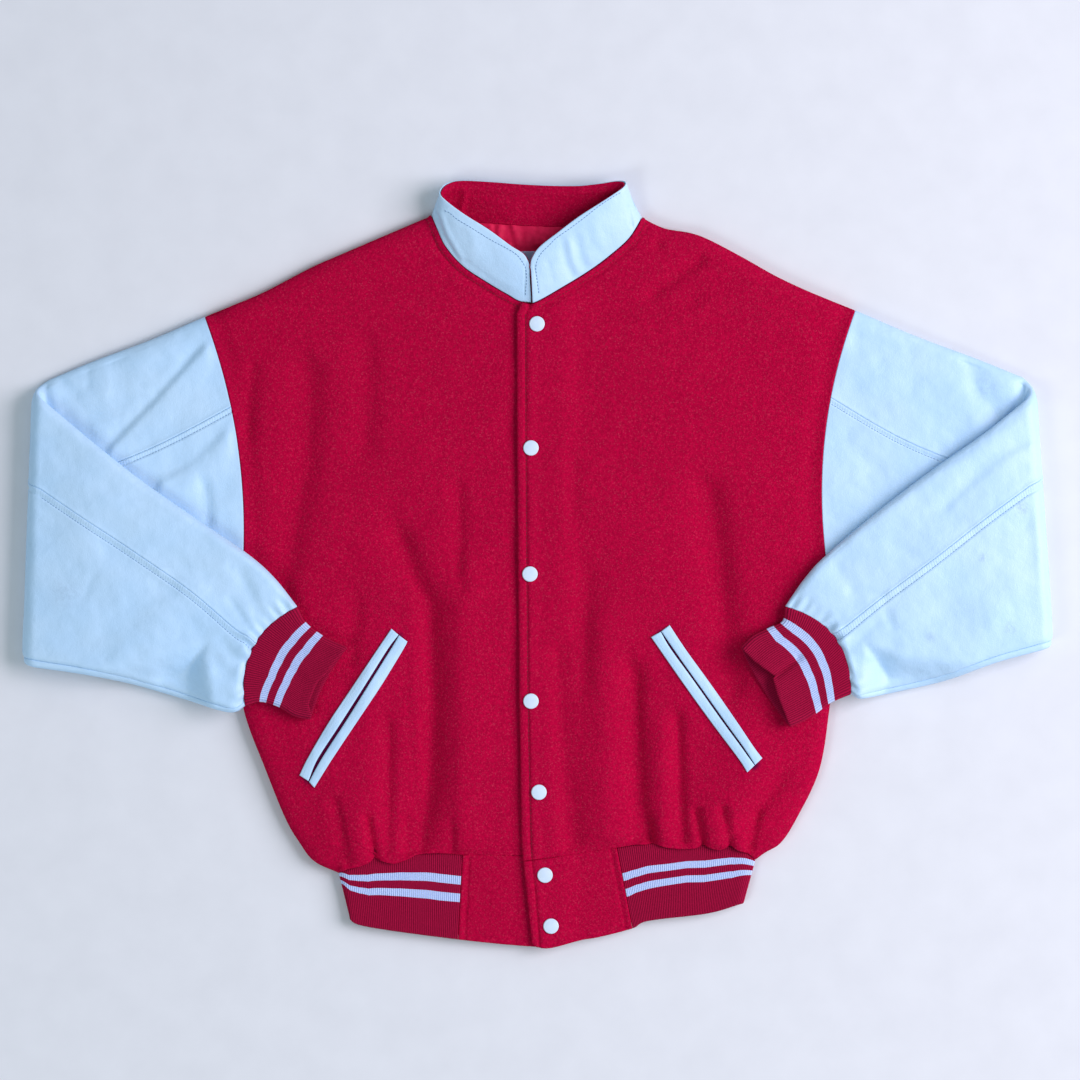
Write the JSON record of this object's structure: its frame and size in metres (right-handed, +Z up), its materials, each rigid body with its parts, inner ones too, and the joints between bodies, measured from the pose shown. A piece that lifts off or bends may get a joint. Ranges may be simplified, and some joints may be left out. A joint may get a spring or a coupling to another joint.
{
  "type": "varsity jacket",
  "caption": "Wool-bodied varsity jacket lying face up, leather sleeves folded in over the fronts, stand collar, ribbed cuffs and waistband, snap front and welted slant pockets.",
  "frame": {"origin": "on the floor, below the middle of the jacket's box", "axes": "+X to the wearer's left, +Y to the collar, +Z up from the floor through the jacket to its front"},
  "size_m": [1.0304, 0.7681, 0.0341],
  "materials": {
    "wool": "brushed wool melton, matt",
    "leather": "smooth grained leather, pale, half matt",
    "rib": "one by one rib knit",
    "satin": "satin lining",
    "tape": "plain woven tape",
    "snap": "pale enamelled snap cap"
  },
  "bodies": {
    "root": {"back": "wool", "front_left": "wool", "front_right": "wool", "collar_inner": "wool", "waistband_block_left": "wool", "waistband_block_right": "wool", "collar_outer": "leather", "sleeve_left_top": "leather", "sleeve_left_front": "leather", "sleeve_left_back": "leather", "sleeve_right_top": "leather", "sleeve_right_front": "leather", "sleeve_right_back": "leather", "welt_left_inner": "leather", "welt_left_outer": "leather", "welt_right_inner": "leather", "welt_right_outer": "leather", "cuff_left": "rib", "cuff_right": "rib", "waistband_rib": "rib", "neck_lining": "satin", "neck_label": "tape", "snap_1": "snap", "snap_2": "snap", "snap_3": "snap", "snap_4": "snap", "snap_5": "snap", "snap_6": "snap", "snap_7": "snap"}
  },
  "joints": []
}
